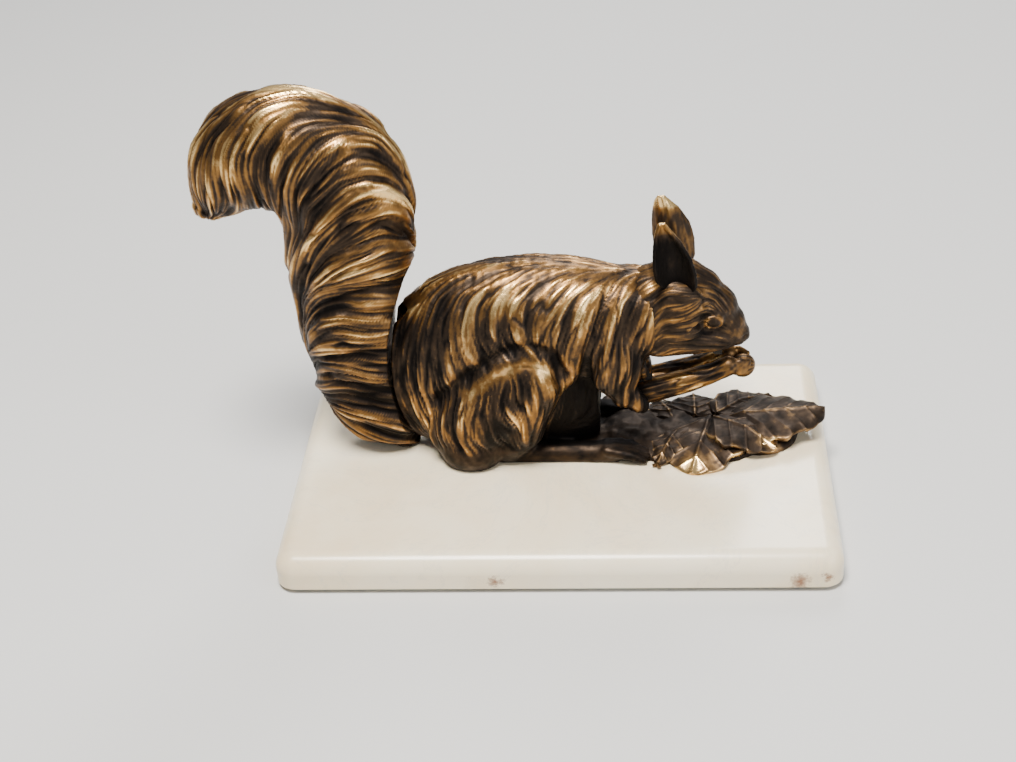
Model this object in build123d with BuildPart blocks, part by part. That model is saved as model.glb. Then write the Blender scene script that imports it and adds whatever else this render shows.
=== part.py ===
"""Squirrel nutcracker: a cast bronze squirrel on a stone plinth, worked by its tail.

The squirrel crouches on a bed of leaves.  Its tail, a lever inside the hollow body and its two forelegs
are one rocking assembly.  It turns on a pin across the shoulders.  Lifting the tail lowers the forelegs
away from the head, a nut goes into the gap on top of the forelegs, and pressing the tail down again
cracks it against the toothed palate.

Units are millimetres.  X runs along the squirrel towards its nose, Y runs to its left side and Z is up.
The origin is at the centre of the plinth's resting face.
"""
import math
import os

from build123d import *

os.makedirs("parts", exist_ok=True)

# --- plinth -------------------------------------------------------------------------------------
PLINTH_LENGTH = 150.0
PLINTH_DEPTH = 95.0
PLINTH_THICKNESS = 10.0
PLINTH_CORNER = 5.5
PLINTH_EDGE_ROUND = 5.0
PLINTH_ARRIS = 0.6
FELT_THICKNESS = 1.0
STUD_PROUD = 0.6                              # how far each stud stands past its nut
FELT_INSET = 2.0
TOP = FELT_THICKNESS + PLINTH_THICKNESS       # height of the face that the squirrel stands on

# --- squirrel's middle plane and the pivot ------------------------------------------------------
MIDDLE = 8.0                                  # the squirrel stands a little behind the plinth's middle
PIVOT_X = 17.0
PIVOT_Z = 39.0
PIN_RADIUS = 2.5
PIN_NEAR = 10.5                               # the pin's blind end, from the middle plane
PIN_FAR = 13.0                                # its end that shows in the far shoulder
BUSH_RADIUS = 4.0
RUNNING_CLEARANCE = 0.05

# --- lever --------------------------------------------------------------------------------------
LEVER_HALF = 3.5                              # half the lever's thickness
SHIM_THICKNESS = 0.6
SHIM_RADIUS = 6.5
SLOT_HALF = 4.3                               # half the width of the slot that the lever rocks in
EYE_RADIUS = 7.5
ARM_HALF_HEIGHT = 4.6
ARM_FALL = 14.0                               # degrees that the arm falls towards the tail
LIFT = 25.0                                   # degrees that the tail lifts
SLOT_MARGIN = 1.2
RUMP_RADIUS = 62.6                            # rump and tail meet on arcs about the pivot
TAIL_RADIUS = 63.4
STOP_RADIUS = 2.5
STOP_REACH = 44.0                             # the stop pin's distance from the pivot, along the arm
STOP_GAP = 0.25
STOP_HALF = 11.0                              # half the stop pin's length

# --- fixings ------------------------------------------------------------------------------------
STUD_RADIUS = 2.0
STUD_HOLE_RADIUS = 2.3
STUD_ENGAGEMENT = 3.0
HAUNCH_STUD_ENGAGEMENT = 6.6
WASHER_RADIUS = 5.0
WASHER_THICKNESS = 0.8
NUT_ACROSS_FLATS = 7.0
NUT_THICKNESS = 2.6
RECESS_RADIUS = 6.0
RECESS_DEPTH = 5.0
HAUNCH_STUDS = [(-16.0, MIDDLE - 10.2), (-16.0, MIDDLE + 10.2)]
LEAF_STUDS = [(18.0, MIDDLE), (55.0, MIDDLE + 3.0)]
FORK_PINS = [(24.0, 30.0), (22.6, 26.8)]      # pins that hold the forelegs on the lever's tongue
FORK_PIN_RADIUS = 0.9
FORK_PIN_HALF = 4.8
TANG_SCREWS = [(-55.8, 34.0), (-55.2, 47.0)]  # screws that hold the tail on the lever's tang
TANG_SCREW_RADIUS = 1.6
TANG_SCREW_NEAR = 8.0
TANG_SCREW_FAR = 8.6                          # seat of the screw's head, from the middle plane
TANG_HEAD_RADIUS = 3.0
TANG_HEAD_HEIGHT = 2.0
JAW_SCREWS = [30.0, 41.0]                     # places of the palate's screws along the squirrel
JAW_SCREW_RADIUS = 1.25
JAW_SCREW_TOP = 51.0
JAW_SCREW_HEAD_RADIUS = 2.2
JAW_SCREW_HEAD_HEIGHT = 1.2

# --- head and forelegs --------------------------------------------------------------------------
NECK_X = 25.5                                 # head and body castings meet on this plane
NECK_DOWEL_RADIUS = 4.0
NECK_DOWEL_LENGTH = 9.0
NECK_DOWEL_Z = 55.5
PALATE_Z = 41.3                               # underside of the palate's teeth
PALATE_THICKNESS = 3.0
PALATE_HALF = 5.0
PALATE_END = 45.0
TOOTH_PITCH = 3.0
TOOTH_DEPTH = 1.1
TOOTH_FLAT = 0.3                              # half the flat between two grooves
SCREW_SINK = 0.3                              # how far the palate screws' heads sit above the teeth
POCKET_HALF = 7.4                             # half the width of the space between the upper arms
POCKET_TOP = 36.0
FORELEG_OFFSET = 3.3                          # each foreleg's distance from the middle plane
PAW_RADIUS = 2.7
HELD_NUT_RADIUS = 3.4
HELD_NUT_X = 51.0
HELD_NUT_Z = 34.4

# --- ears ---------------------------------------------------------------------------------------
EAR_ROOT_X = 30.6
EAR_ROOT_Z = 62.5
EAR_HEIGHT = 21.0
EAR_ROOT_OFFSET = 5.6
EAR_SPLAY = 1.8

# --- leaf bed -----------------------------------------------------------------------------------
BED_THICKNESS = 4.0
LEAF_THICKNESS = 2.2


def crosswise(half_width):
    """A sketch plane for side-view outlines, from which a solid is extruded to both sides."""
    return Plane(origin=(0, MIDDLE + half_width, 0), x_dir=(1, 0, 0), z_dir=(0, -1, 0))


def rod(x, z, radius, near, far):
    """A cylinder across the squirrel, from near to far of its middle plane."""
    with BuildPart() as cylinder:
        with BuildSketch(crosswise(far)):
            with Locations((x, z)):
                Circle(radius)
        extrude(amount=far - near)
    return cylinder.part


def plate(points, half_width):
    """A plate on the middle plane with a side-view outline of straight edges."""
    with BuildPart() as solid:
        with BuildSketch(crosswise(half_width)):
            with BuildLine():
                Polyline(*points, close=True)
            make_face()
        extrude(amount=2 * half_width)
    return solid.part


def form_along(stations, offset=0.0):
    """A form along the squirrel, from rows of (x, bottom, top, half width) with an ellipse at each."""
    with BuildPart() as form:
        for x, bottom, top, half_width in stations:
            with BuildSketch(Plane.YZ.offset(x)):
                with Locations((MIDDLE + offset, (bottom + top) / 2)):
                    Ellipse(half_width, (top - bottom) / 2)
        loft()
    return form.part


def egg(centre, climb, long_radius, short_radius):
    """An egg whose long axis lies in the side view and climbs at this many degrees towards +X."""
    with BuildPart() as solid:
        Sphere(short_radius)
        scale(by=(long_radius / short_radius, 1, 1))
    return solid.part.rotate(Axis.Y, -climb).moved(Location(centre))


def on_arm(distance, above=0.0, lift=0.0):
    """A point on the lever's arm: this far from the pivot and this far above the arm's middle line."""
    fall = math.radians(ARM_FALL - lift)
    x = PIVOT_X - distance * math.cos(fall) - above * math.sin(fall)
    z = PIVOT_Z - distance * math.sin(fall) + above * math.cos(fall)
    return (x, z)


def write(part, name):
    """Labels a finished piece and writes its STEP file."""
    part.label = name
    export_step(part, f"parts/{name}.step")


# --- plinth, felt and fixings --------------------------------------------------------------------
stud_places = HAUNCH_STUDS + LEAF_STUDS
recess_roof = FELT_THICKNESS + RECESS_DEPTH

with BuildPart() as plinth:
    with BuildSketch(Plane.XY.offset(FELT_THICKNESS)):
        RectangleRounded(PLINTH_LENGTH, PLINTH_DEPTH, PLINTH_CORNER)
    extrude(amount=PLINTH_THICKNESS)
    fillet(plinth.faces().sort_by(Axis.Z)[-1].edges(), PLINTH_EDGE_ROUND)
    chamfer(plinth.faces().sort_by(Axis.Z)[0].edges(), PLINTH_ARRIS)
    with BuildSketch(Plane.XY.offset(FELT_THICKNESS)):
        with Locations(*stud_places):
            Circle(STUD_HOLE_RADIUS)
    extrude(amount=PLINTH_THICKNESS, mode=Mode.SUBTRACT)
    with BuildSketch(Plane.XY.offset(FELT_THICKNESS)):
        with Locations(*stud_places):
            Circle(RECESS_RADIUS)
    extrude(amount=RECESS_DEPTH, mode=Mode.SUBTRACT)
write(plinth.part, "plinth")

with BuildPart() as felt_pad:
    with BuildSketch():
        RectangleRounded(
            PLINTH_LENGTH - 2 * FELT_INSET, PLINTH_DEPTH - 2 * FELT_INSET, PLINTH_CORNER - FELT_INSET
        )
    extrude(amount=FELT_THICKNESS)
write(felt_pad.part, "felt_pad")

washer_bottom = recess_roof - WASHER_THICKNESS
with BuildPart() as stud_washers:
    with BuildSketch(Plane.XY.offset(washer_bottom)):
        with Locations(*stud_places):
            Circle(WASHER_RADIUS)
        with Locations(*stud_places):
            Circle(STUD_HOLE_RADIUS, mode=Mode.SUBTRACT)
    extrude(amount=WASHER_THICKNESS)
write(stud_washers.part, "stud_washers")

nut_bottom = washer_bottom - NUT_THICKNESS
with BuildPart() as stud_nuts:
    with BuildSketch(Plane.XY.offset(nut_bottom)):
        with Locations(*stud_places):
            RegularPolygon(NUT_ACROSS_FLATS / 2, 6, major_radius=False)
        with Locations(*stud_places):
            Circle(STUD_RADIUS, mode=Mode.SUBTRACT)
    extrude(amount=NUT_THICKNESS)
write(stud_nuts.part, "stud_nuts")

stud_bottom = nut_bottom - STUD_PROUD
with BuildPart() as studs:
    with BuildSketch(Plane.XY.offset(stud_bottom)):
        with Locations(*HAUNCH_STUDS):
            Circle(STUD_RADIUS)
    extrude(amount=TOP + HAUNCH_STUD_ENGAGEMENT - stud_bottom)
    with BuildSketch(Plane.XY.offset(stud_bottom)):
        with Locations(*LEAF_STUDS):
            Circle(STUD_RADIUS)
    extrude(amount=TOP + STUD_ENGAGEMENT - stud_bottom)
    chamfer(studs.edges().filter_by(GeomType.CIRCLE), 0.4)
write(studs.part, "studs")

# --- lever arm: eye, arm, tang for the tail and tongue for the forelegs ----------------------------
TANG = [
    on_arm(64.5, ARM_HALF_HEIGHT),
    (-50.5, 33.0),
    (-51.0, 53.5),
    (-59.0, 53.5),
    (-60.5, 30.0),
    (-55.5, 20.5),
    on_arm(66, -ARM_HALF_HEIGHT),
]
TONGUE = [(PIVOT_X + 1.5, PIVOT_Z - 3), (20.0, 25.2), (26.0, 26.4), (26.0, 32.4), (PIVOT_X + 6.5, PIVOT_Z)]
with BuildPart() as lever_arm:
    with BuildSketch(crosswise(LEVER_HALF)):
        with BuildLine():
            Polyline(on_arm(0, ARM_HALF_HEIGHT), *TANG, on_arm(0, -ARM_HALF_HEIGHT), close=True)
        make_face()
        with BuildLine():
            Polyline(*TONGUE, close=True)
        make_face()
        with Locations((PIVOT_X, PIVOT_Z)):
            Circle(EYE_RADIUS)
    extrude(amount=2 * LEVER_HALF)
    add(rod(PIVOT_X, PIVOT_Z, BUSH_RADIUS, -LEVER_HALF, LEVER_HALF), mode=Mode.SUBTRACT)
    for x, z in FORK_PINS:
        add(rod(x, z, FORK_PIN_RADIUS, -LEVER_HALF, LEVER_HALF), mode=Mode.SUBTRACT)
    for x, z in TANG_SCREWS:
        add(rod(x, z, TANG_SCREW_RADIUS, -LEVER_HALF, LEVER_HALF), mode=Mode.SUBTRACT)
write(lever_arm.part, "lever_arm")

with BuildPart() as lever_bush:
    with BuildSketch(crosswise(LEVER_HALF)):
        with Locations((PIVOT_X, PIVOT_Z)):
            Circle(BUSH_RADIUS)
            Circle(PIN_RADIUS + RUNNING_CLEARANCE, mode=Mode.SUBTRACT)
    extrude(amount=2 * LEVER_HALF)
write(lever_bush.part, "lever_bush")

with BuildPart() as pivot_pin:
    add(rod(PIVOT_X, PIVOT_Z, PIN_RADIUS, -PIN_NEAR, PIN_FAR))
    chamfer(pivot_pin.edges().filter_by(GeomType.CIRCLE), 0.4)
write(pivot_pin.part, "pivot_pin")

with BuildPart() as pivot_shims:
    with BuildSketch(crosswise(SLOT_HALF), crosswise(SHIM_THICKNESS - SLOT_HALF)):
        with Locations((PIVOT_X, PIVOT_Z)):
            Circle(SHIM_RADIUS)
            Circle(PIN_RADIUS, mode=Mode.SUBTRACT)
    extrude(amount=SHIM_THICKNESS)
write(pivot_shims.part, "pivot_shims")

stop_x, stop_z = on_arm(STOP_REACH, -ARM_HALF_HEIGHT - STOP_RADIUS - STOP_GAP)
with BuildPart() as stop_pin:
    add(rod(stop_x, stop_z, STOP_RADIUS, -STOP_HALF, STOP_HALF))
write(stop_pin.part, "stop_pin")

# --- body casting: hollow torso with haunches, hind feet and upper arms ---------------------------
TORSO = [
    (-54.0, 16.0, 46.0, 7.0),
    (-44.0, 8.0, 57.0, 11.0),
    (-32.0, 5.0, 65.5, 14.0),
    (-16.0, 10.0, 69.5, 15.0),
    (0.0, 18.0, 68.5, 14.0),
    (13.0, 25.0, 65.0, 12.0),
    (NECK_X, 33.0, 66.5, 11.0),
]
HOLLOW = [(-37, 9), (-40, 30), (-37.5, 51), (-26, 61), (-4, 62), (4, 54), (5, 30), (-4, 22), (-8, 9)]
HOLLOW_HALF = 6.0
rest_margin = ARM_HALF_HEIGHT + SLOT_MARGIN
SLOT = [
    on_arm(0, rest_margin, LIFT),
    on_arm(75, rest_margin, LIFT),
    on_arm(75, -rest_margin),
    on_arm(0, -rest_margin),
]
POCKET = [(11.0, POCKET_TOP), (11.5, 9.0), (40.0, 9.0), (40.0, POCKET_TOP)]
with BuildPart() as body_casting:
    add(form_along(TORSO))
    for side in (-1, 1):
        add(egg((-18.5, MIDDLE + side * 7.6, 29.5), 46, 23.0, 11.5))
        add(egg((-14.0, MIDDLE + side * 10.5, 16.0), 0, 10.0, 6.5))
        add(egg((3.0, MIDDLE + side * 12.0, 13.6), 0, 21.5, 4.2))
        add(egg((16.3, MIDDLE + side * 6.8, 41.0), 98, 15.0, 7.3))
    with BuildSketch(crosswise(50)):
        with Locations((PIVOT_X, PIVOT_Z)):
            Circle(RUMP_RADIUS)
    extrude(amount=100, mode=Mode.INTERSECT)
    with BuildSketch(Plane.XY.offset(TOP)):
        Rectangle(300, 200)
    extrude(amount=-50, mode=Mode.SUBTRACT)
    with BuildSketch(Plane.YZ.offset(NECK_X)):
        Rectangle(200, 300)
    extrude(amount=50, mode=Mode.SUBTRACT)
    add(plate(HOLLOW, HOLLOW_HALF), mode=Mode.SUBTRACT)
    add(plate(SLOT, SLOT_HALF), mode=Mode.SUBTRACT)
    add(rod(PIVOT_X, PIVOT_Z, EYE_RADIUS + SLOT_MARGIN, -SLOT_HALF, SLOT_HALF), mode=Mode.SUBTRACT)
    add(plate(POCKET, POCKET_HALF), mode=Mode.SUBTRACT)
    add(rod(PIVOT_X, PIVOT_Z, PIN_RADIUS, -PIN_NEAR, PIN_FAR), mode=Mode.SUBTRACT)
    add(rod(stop_x, stop_z, STOP_RADIUS, -STOP_HALF, STOP_HALF), mode=Mode.SUBTRACT)
    with BuildSketch(Plane.YZ.offset(NECK_X)):
        with Locations((MIDDLE, NECK_DOWEL_Z)):
            Circle(NECK_DOWEL_RADIUS)
    extrude(amount=-NECK_DOWEL_LENGTH, mode=Mode.SUBTRACT)
    with BuildSketch(Plane.XY.offset(TOP)):
        with Locations(*HAUNCH_STUDS):
            Circle(STUD_RADIUS)
    extrude(amount=HAUNCH_STUD_ENGAGEMENT, mode=Mode.SUBTRACT)
write(body_casting.part, "body_casting")

# --- head casting, ears and the palate ------------------------------------------------------------
HEAD = [
    (NECK_X, 33.0, 66.5, 11.0),
    (31.0, 36.0, 69.0, 10.5),
    (37.5, 38.0, 67.5, 9.5),
    (44.0, 38.5, 61.0, 7.6),
    (49.0, 39.0, 52.5, 5.4),
    (51.6, 40.5, 48.0, 3.2),
]
palate_top = PALATE_Z + PALATE_THICKNESS
palate_length = PALATE_END - NECK_X
screw_head_bottom = PALATE_Z + SCREW_SINK
with BuildPart() as head_casting:
    add(form_along(HEAD))
    with BuildSketch(Plane.XY.offset(PALATE_Z)):
        with Locations((NECK_X + 20, MIDDLE)):
            Rectangle(60, 60)
    extrude(amount=-30, mode=Mode.SUBTRACT)
    with BuildSketch(Plane.XY.offset(palate_top)):
        with Locations((NECK_X + palate_length / 2, MIDDLE)):
            Rectangle(palate_length, 2 * PALATE_HALF)
    extrude(amount=-PALATE_THICKNESS, mode=Mode.SUBTRACT)
    with BuildSketch(Plane.YZ.offset(NECK_X)):
        with Locations((MIDDLE, NECK_DOWEL_Z)):
            Circle(NECK_DOWEL_RADIUS)
    extrude(amount=-NECK_DOWEL_LENGTH)
    with BuildSketch(Plane.XY.offset(palate_top)):
        with Locations(*[(x, MIDDLE) for x in JAW_SCREWS]):
            Circle(JAW_SCREW_RADIUS)
    extrude(amount=JAW_SCREW_TOP - palate_top, mode=Mode.SUBTRACT)
write(head_casting.part, "head_casting")

EAR_SECTIONS = [(0.0, 4.6, 2.4), (0.4, 4.4, 2.2), (0.75, 2.6, 1.4), (1.0, 0.5, 0.4)]
for name, side in (("ear_near", -1), ("ear_far", 1)):
    with BuildPart() as ear:
        for rise, length, thickness in EAR_SECTIONS:
            offset = side * (EAR_ROOT_OFFSET + rise * EAR_SPLAY)
            with BuildSketch(Plane.XY.offset(EAR_ROOT_Z + rise * EAR_HEIGHT)):
                with Locations((EAR_ROOT_X - 0.6 * rise, MIDDLE + offset)):
                    Ellipse(length, thickness)
        loft()
        add(head_casting.part, mode=Mode.SUBTRACT)
    write(ear.part, name)

with BuildPart() as jaw_plate_screws:
    with BuildSketch(Plane.XY.offset(screw_head_bottom)):
        with Locations(*[(x, MIDDLE) for x in JAW_SCREWS]):
            Circle(JAW_SCREW_HEAD_RADIUS)
    extrude(amount=JAW_SCREW_HEAD_HEIGHT)
    with BuildSketch(Plane.XY.offset(screw_head_bottom)):
        with Locations(*[(x, MIDDLE) for x in JAW_SCREWS]):
            Circle(JAW_SCREW_RADIUS)
    extrude(amount=JAW_SCREW_TOP - screw_head_bottom)
write(jaw_plate_screws.part, "jaw_plate_screws")

tooth_count = int(palate_length / TOOTH_PITCH)
with BuildPart() as upper_jaw_plate:
    with BuildSketch(crosswise(PALATE_HALF)):
        with BuildLine():
            outline = [(PALATE_END, PALATE_Z), (PALATE_END, palate_top), (NECK_X, palate_top), (NECK_X, PALATE_Z)]
            for tooth in range(tooth_count):
                root = NECK_X + (tooth + 0.5) * TOOTH_PITCH
                outline.append((root - TOOTH_PITCH / 2 + TOOTH_FLAT, PALATE_Z))
                outline.append((root, PALATE_Z + TOOTH_DEPTH))
                outline.append((root + TOOTH_PITCH / 2 - TOOTH_FLAT, PALATE_Z))
            Polyline(*outline, close=True)
        make_face()
    extrude(amount=2 * PALATE_HALF)
    add(jaw_plate_screws.part, mode=Mode.SUBTRACT)
    with BuildSketch(Plane.XY.offset(PALATE_Z)):
        with Locations(*[(x, MIDDLE) for x in JAW_SCREWS]):
            Circle(JAW_SCREW_HEAD_RADIUS)
    extrude(amount=SCREW_SINK, mode=Mode.SUBTRACT)
write(upper_jaw_plate.part, "upper_jaw_plate")

# --- forelegs, the nut they hold and their pins ----------------------------------------------------
with BuildPart() as held_nut:
    with Locations((HELD_NUT_X, MIDDLE, HELD_NUT_Z)):
        Sphere(HELD_NUT_RADIUS)
write(held_nut.part, "held_nut")

with BuildPart() as paw_pins:
    for x, z in FORK_PINS:
        add(rod(x, z, FORK_PIN_RADIUS, -FORK_PIN_HALF, FORK_PIN_HALF))
write(paw_pins.part, "paw_pins")

FORELEG = [
    (19.2, 25.8, 30.0, 2.0),
    (21.5, 24.2, 31.8, 3.1),
    (28.0, 25.6, 32.6, 3.1),
    (36.3, 28.7, 34.2, 2.7),
    (44.0, 31.8, 36.6, 2.4),
    (50.0, 34.4, 38.2, 1.8),
]
YOKE = [(20.0, 26.0), (30.0, 28.0), (30.0, 32.0), (20.0, 30.0)]
with BuildPart() as forepaws:
    for side in (-1, 1):
        add(form_along(FORELEG, side * FORELEG_OFFSET))
        with Locations((49.0, MIDDLE + side * FORELEG_OFFSET, 35.8)):
            Sphere(PAW_RADIUS)
    add(plate(YOKE, FORELEG_OFFSET))
    add(lever_arm.part, mode=Mode.SUBTRACT)
    add(paw_pins.part, mode=Mode.SUBTRACT)
    add(held_nut.part, mode=Mode.SUBTRACT)
write(forepaws.part, "forepaws")

# --- tail ------------------------------------------------------------------------------------------
TAIL = [
    ((-51.0, 12.4), (-38.0, 13.4), 6.0),
    ((-62.0, 20.0), (-37.0, 25.0), 9.5),
    ((-70.0, 34.0), (-38.0, 38.0), 11.5),
    ((-71.4, 52.0), (-38.0, 54.0), 12.5),
    ((-71.5, 68.0), (-38.5, 72.0), 13.5),
    ((-71.7, 77.0), (-37.0, 88.0), 14.0),
    ((-72.6, 82.0), (-43.0, 107.0), 14.0),
    ((-74.4, 84.6), (-60.0, 118.0), 13.5),
    ((-77.0, 85.6), (-79.0, 118.0), 12.5),
    ((-80.5, 85.8), (-91.0, 105.5), 10.0),
    ((-84.6, 85.4), (-93.8, 91.0), 5.5),
]
with BuildPart() as tail_screws:
    for x, z in TANG_SCREWS:
        add(rod(x, z, TANG_SCREW_RADIUS, -TANG_SCREW_NEAR, TANG_SCREW_FAR))
        add(rod(x, z, TANG_HEAD_RADIUS, TANG_SCREW_FAR, TANG_SCREW_FAR + TANG_HEAD_HEIGHT))
write(tail_screws.part, "tail_screws")

with BuildPart() as tail_casting:
    for inner, outer, half_width in TAIL:
        run = (outer[0] - inner[0], 0, outer[1] - inner[1])
        centre = ((inner[0] + outer[0]) / 2, MIDDLE, (inner[1] + outer[1]) / 2)
        with BuildSketch(Plane(origin=centre, x_dir=run, z_dir=(-run[2], 0, run[0]))):
            Ellipse(math.hypot(run[0], run[2]) / 2, half_width)
    loft()
    with BuildSketch(crosswise(50)):
        with Locations((PIVOT_X, PIVOT_Z)):
            Circle(TAIL_RADIUS)
    extrude(amount=100, mode=Mode.SUBTRACT)
    add(lever_arm.part, mode=Mode.SUBTRACT)
    add(tail_screws.part, mode=Mode.SUBTRACT)
    for x, z in TANG_SCREWS:
        add(rod(x, z, TANG_HEAD_RADIUS, TANG_SCREW_FAR, 30.0), mode=Mode.SUBTRACT)
write(tail_casting.part, "tail_casting")

# --- leaf bed --------------------------------------------------------------------------------------
BED_EDGE = [(8.0, 6.6), (23.0, 7.2), (28.0, 12.5), (36.0, 16.0), (45.0, 14.0), (54.0, 12.0), (61.0, 7.0)]
SIDE_LEAF = [(27.5, 2.0), (27.5, 11.0), (31.0, 16.5), (36.0, 19.4), (41.0, 16.5), (45.0, 10.0), (44.0, 2.0)]
TIP_LEAF = [(44.0, 3.0), (49.0, 10.0), (57.0, 11.0), (67.0, 6.0), (74.0, 0.8)]
TIP_LEAF_SIDE = [(44.0, TOP), (60.0, 13.2), (74.5, 17.0), (74.5, 18.8), (64.0, 16.4), (44.0, 15.6)]


def leaf_outline(edge):
    """The plan of a leaf or bed that is the same on both sides of the middle plane."""
    near = [(x, MIDDLE - reach) for x, reach in edge]
    far = [(x, MIDDLE + reach) for x, reach in reversed(edge)]
    return near + far


with BuildPart() as tip_leaf:
    with BuildSketch(Plane.XY.offset(TOP)):
        with BuildLine():
            Polyline(*leaf_outline(TIP_LEAF), close=True)
        make_face()
    extrude(amount=20)
    add(plate(TIP_LEAF_SIDE, 20), mode=Mode.INTERSECT)

with BuildPart() as leaf_bed:
    with BuildSketch(Plane.XY.offset(TOP)):
        with BuildLine():
            Polyline(*leaf_outline(BED_EDGE), close=True)
        make_face()
    extrude(amount=BED_THICKNESS)
    with BuildSketch(Plane.XY.offset(TOP)):
        with BuildLine():
            Polyline(*leaf_outline(SIDE_LEAF), close=True)
        make_face()
    extrude(amount=LEAF_THICKNESS)
    add(tip_leaf.part)
    add(studs.part, mode=Mode.SUBTRACT)
    add(body_casting.part, mode=Mode.SUBTRACT)
write(leaf_bed.part, "leaf_bed")
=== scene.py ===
"""Bronze squirrel nutcracker on a marble plinth: the looks of the castings, the stone and the steel.

Lengths are millimetres in the object's own frame, and MM turns them into metres. Lights, floor and camera are
placed in metres.
"""
import math

import bpy
import numpy as np
from mathutils import Matrix, Vector


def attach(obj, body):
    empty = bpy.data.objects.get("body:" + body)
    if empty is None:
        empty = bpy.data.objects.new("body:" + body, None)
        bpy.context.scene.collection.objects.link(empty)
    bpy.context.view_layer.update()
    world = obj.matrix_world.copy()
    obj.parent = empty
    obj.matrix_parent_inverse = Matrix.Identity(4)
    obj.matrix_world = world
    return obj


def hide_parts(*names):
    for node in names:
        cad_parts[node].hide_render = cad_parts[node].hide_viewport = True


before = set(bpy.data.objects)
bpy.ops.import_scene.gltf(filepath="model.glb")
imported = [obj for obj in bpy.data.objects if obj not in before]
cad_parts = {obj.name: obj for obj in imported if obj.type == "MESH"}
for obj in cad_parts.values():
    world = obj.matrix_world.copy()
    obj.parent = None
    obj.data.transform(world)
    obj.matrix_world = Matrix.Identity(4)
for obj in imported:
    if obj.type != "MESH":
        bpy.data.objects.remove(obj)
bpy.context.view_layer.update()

MM = 0.001
MIDDLE = 8.0                        # the squirrel's middle plane
PIVOT = np.array([17.0, 39.0])      # x and z of the lever's pin
TOP = 11.0                          # the plinth's upper face
RUMP_RADIUS = 62.5                  # the rump's rear face, about the pin
TAIL_RADIUS = 63.3                  # the tail's front face, about the pin
PAST = 130.0                        # beyond everything, for outlines that cut right through
SLOT_HALF = 4.4                     # half the width of the lever's slot
POCKET_HALF = 7.5                   # half the width of the space between the upper arms
JAW_TOP = 41.4                      # underside of the head
EYE_X = 42.6
EYE_Z = 52.6
LID_LINES = [[(35.6, 52.0), (41.2, 54.6)], [(35.6, 52.0), (41.2, 50.6)]]
EAR_ROOT_Z = 61.5
EAR_HEIGHT = 22.0
EAR_WALL = 1.0
NUT_Z = 34.4
SCREW_HOLE = (3.25, 8.6, 12.0)      # radius, bottom from the middle plane and depth
LEAF_WALL = 1.5
LATTICE_SIZE = 64
COMB_CELL = 0.8                     # cell of the table that finds the nearest point


# --- modelling helpers --------------------------------------------------------------------------
def eased_rows(rows, at):
    """Smooth values between evenly numbered rows, by Catmull and Rom's curve."""
    table = np.array(rows, dtype=float)
    spot = np.clip(at, 0, 1) * (len(table) - 1)
    low = np.minimum(spot.astype(int), len(table) - 2)
    part = (spot - low)[:, None]
    before = table[np.maximum(low - 1, 0)]
    after = table[np.minimum(low + 2, len(table) - 1)]
    first = table[low]
    second = table[low + 1]
    return 0.5 * (
        2 * first
        + (second - before) * part
        + (2 * before - 5 * first + 4 * second - after) * part ** 2
        + (3 * first - before - 3 * second + after) * part ** 3
    )


def only(piece):
    """Makes this piece the one that is selected and active."""
    bpy.ops.object.select_all(action="DESELECT")
    piece.select_set(True)
    bpy.context.view_layer.objects.active = piece


def blank(name):
    """An empty mesh at the origin, open in edit mode."""
    bpy.ops.object.select_all(action="DESELECT")
    bpy.ops.object.add(type="MESH", location=(0, 0, 0))
    piece = bpy.context.object
    piece.name = name
    piece.data.name = name
    bpy.ops.object.mode_set(mode="EDIT")
    return piece


def new_grid(name, along, across):
    """A flat grid from -1 to 1 each way, to be drawn out into a sheet or a tube."""
    bpy.ops.object.select_all(action="DESELECT")
    bpy.ops.mesh.primitive_grid_add(x_subdivisions=along, y_subdivisions=across, size=2)
    piece = bpy.context.object
    piece.name = name
    piece.data.name = name
    return piece


def ball(centre, radii, climb=0.0):
    """Adds an egg to the mesh being edited. climb tips its X axis up, in degrees."""
    bpy.ops.mesh.primitive_uv_sphere_add(
        segments=20,
        ring_count=12,
        radius=MM,
        location=[value * MM for value in centre],
        rotation=(0, -math.radians(climb), 0),
        scale=radii,
    )


def limb(points, flat=1.0):
    """Adds balls at (x, y, z, radius) points with tapered stretches between them, narrowed by flat."""
    for x, y, z, radius in points:
        ball((x, y, z), (radius, radius * flat, radius))
    for start, end in zip(points[:-1], points[1:]):
        first = Vector(start[:3])
        last = Vector(end[:3])
        bpy.ops.mesh.primitive_cone_add(
            vertices=20,
            radius1=start[3] * MM,
            radius2=end[3] * MM,
            depth=(last - first).length * MM,
            location=(first + last) / 2 * MM,
            rotation=(last - first).to_track_quat("Z", "Y").to_euler(),
            scale=(flat, 1, 1),
        )


def both(add, *args):
    """Does the same on the near side (-1) and the far side (1)."""
    for side in (-1, 1):
        add(side, *args)


def reskin(piece, voxel):
    """Gives the active piece one closed skin of cells this large."""
    skin = piece.modifiers.new("skin", "REMESH")
    skin.mode = "VOXEL"
    skin.voxel_size = voxel * MM
    bpy.ops.object.modifier_apply(modifier="skin")


def soften(piece, rounds):
    """Smooths the active piece this many times."""
    soft = piece.modifiers.new("soft", "SMOOTH")
    soft.factor = 0.5
    soft.iterations = rounds
    bpy.ops.object.modifier_apply(modifier="soft")


def thicken(piece, wall, offset):
    """Gives a sheet its wall."""
    shell = piece.modifiers.new("wall", "SOLIDIFY")
    shell.thickness = wall * MM
    shell.offset = offset
    only(piece)
    bpy.ops.object.modifier_apply(modifier="wall")


def fuse(piece, voxel, rounds):
    """Closes the lumps into one skin and softens it."""
    bpy.ops.object.mode_set(mode="OBJECT")
    only(piece)
    reskin(piece, voxel)
    soften(piece, rounds)


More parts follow.
